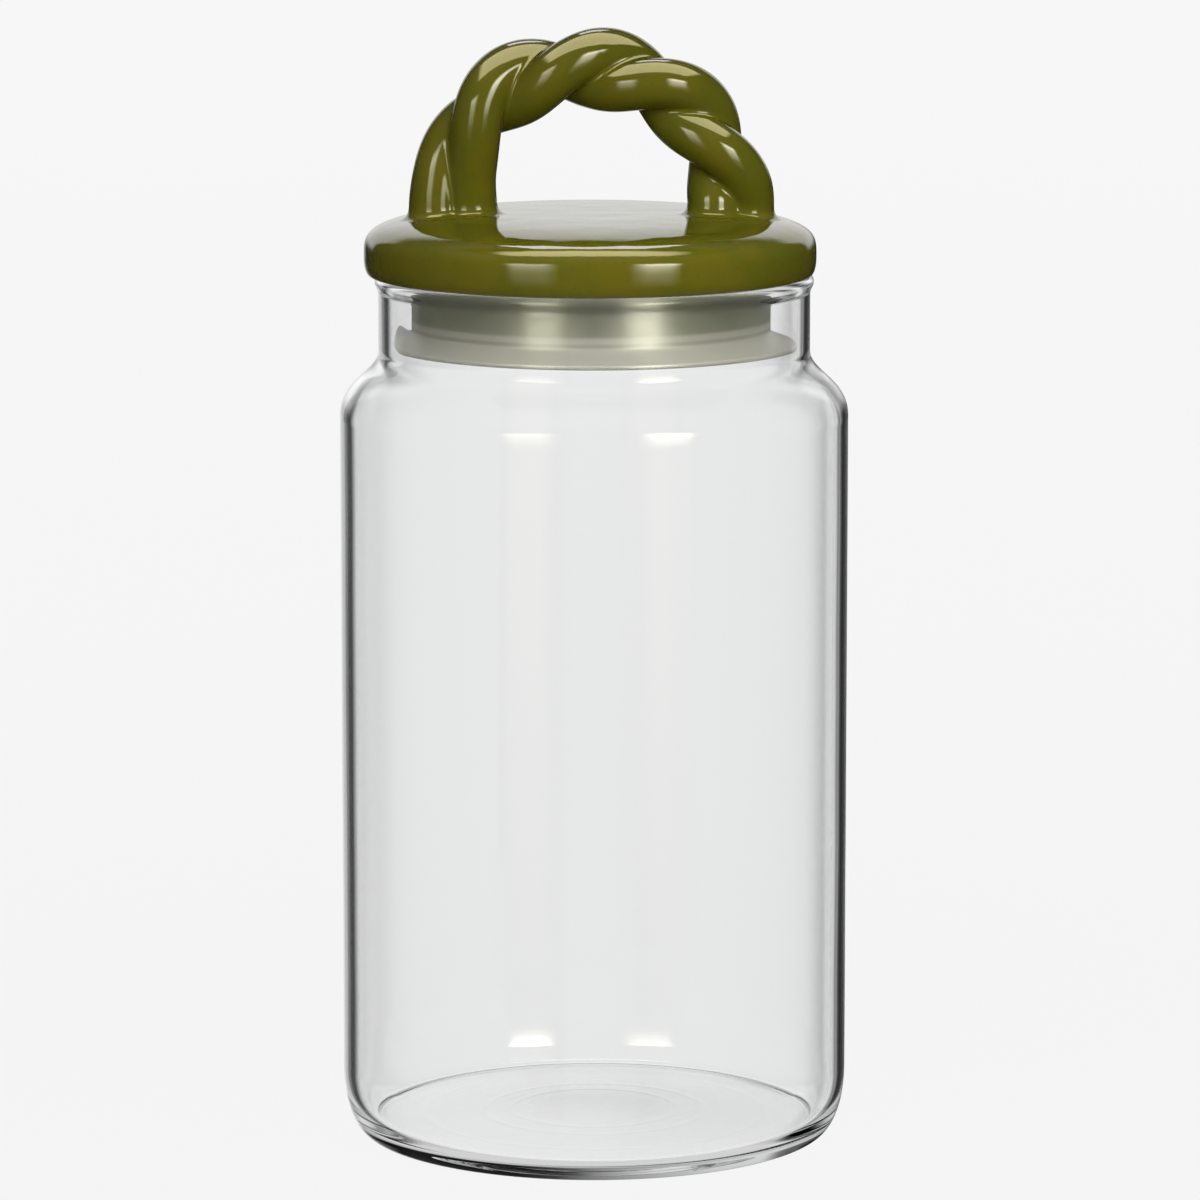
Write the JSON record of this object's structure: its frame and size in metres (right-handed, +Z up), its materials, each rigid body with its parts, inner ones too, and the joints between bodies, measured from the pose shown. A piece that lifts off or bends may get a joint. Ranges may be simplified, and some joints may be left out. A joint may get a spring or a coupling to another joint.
{
  "type": "glass storage jar",
  "caption": "Tall glass storage jar with a drawn-in neck and a domed glazed lid that pushes in on a finned silicone seal and lifts by a twisted rope handle.",
  "frame": {"origin": "middle of the foot ring, on the surface the jar stands on", "axes": "+Z up along the jar's axis; the handle's arch lies in the XZ plane and its front faces -Y"},
  "size_m": [0.1, 0.1, 0.2197],
  "materials": {
    "glass": "clear blown glass, polished",
    "glaze": "stoneware under a glossy olive glaze",
    "silicone": "translucent frosted silicone"
  },
  "bodies": {
    "jar": {"glass_jar": "glass"},
    "seal": {"seal_ring": "silicone"},
    "lid": {"lid_disc": "glaze", "handle_strand_a": "glaze", "handle_strand_b": "glaze"}
  },
  "joints": [
    {"name": "lid_lift", "type": "slide", "parent": "jar", "child": "seal", "axis": [0, 0, 1], "range_m": [0, 0.06]},
    {"name": "lid_turn", "type": "hinge", "parent": "seal", "child": "lid", "pos_m": [0, 0, 0.1717], "axis": [0, 0, 1], "continuous": true}
  ]
}
